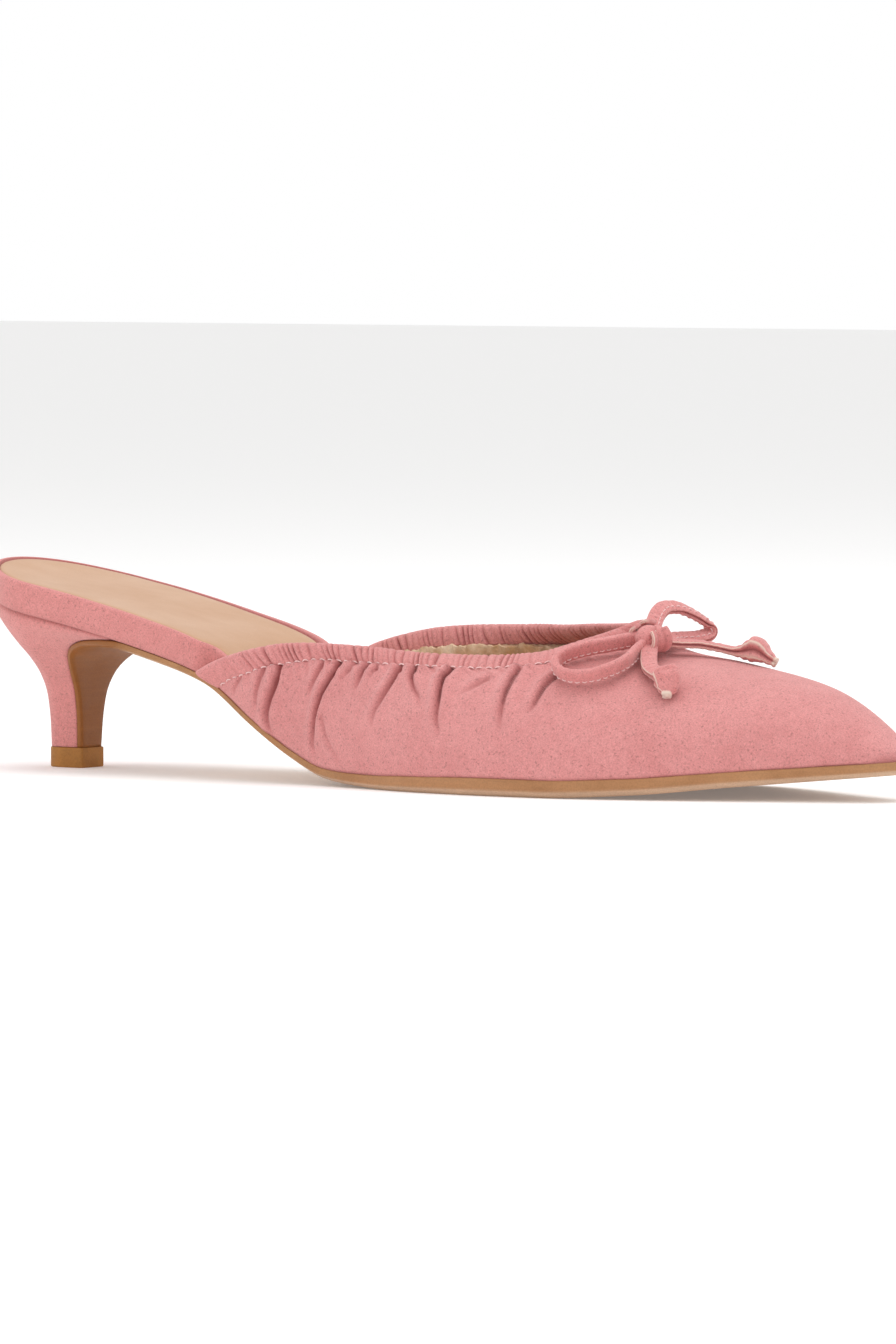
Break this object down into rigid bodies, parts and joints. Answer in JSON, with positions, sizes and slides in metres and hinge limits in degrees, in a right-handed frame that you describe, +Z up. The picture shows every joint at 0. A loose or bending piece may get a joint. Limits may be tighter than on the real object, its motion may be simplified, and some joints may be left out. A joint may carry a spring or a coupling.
{
  "type": "kitten heel mule shoe",
  "caption": "Pointed toe mule with an open back, a low slim heel, a gathered elastic topline and a small knotted bow at the throat.",
  "frame": {"origin": "centre of the top lift's flat base, on the floor", "axes": "+X from the heel to the toe, +Y to the inner side of the right foot, +Z up"},
  "size_m": [0.252, 0.0771, 0.0508],
  "materials": {
    "rose_suede": "rose suede with a short nap",
    "sole_leather": "smooth stained sole leather",
    "lift_rubber": "matt tan heel tip",
    "sock_leather": "soft beige lining leather, faint sheen"
  },
  "bodies": {
    "root": {"outsole": "sole_leather", "heel": "rose_suede", "top_lift": "lift_rubber", "insole_board": "rose_suede", "sock": "sock_leather", "upper": "rose_suede", "collar_casing": "rose_suede", "bow_knot": "rose_suede", "bow_loop_near": "rose_suede", "bow_loop_far": "rose_suede", "bow_tail_near": "rose_suede", "bow_tail_far": "rose_suede"}
  },
  "joints": []
}
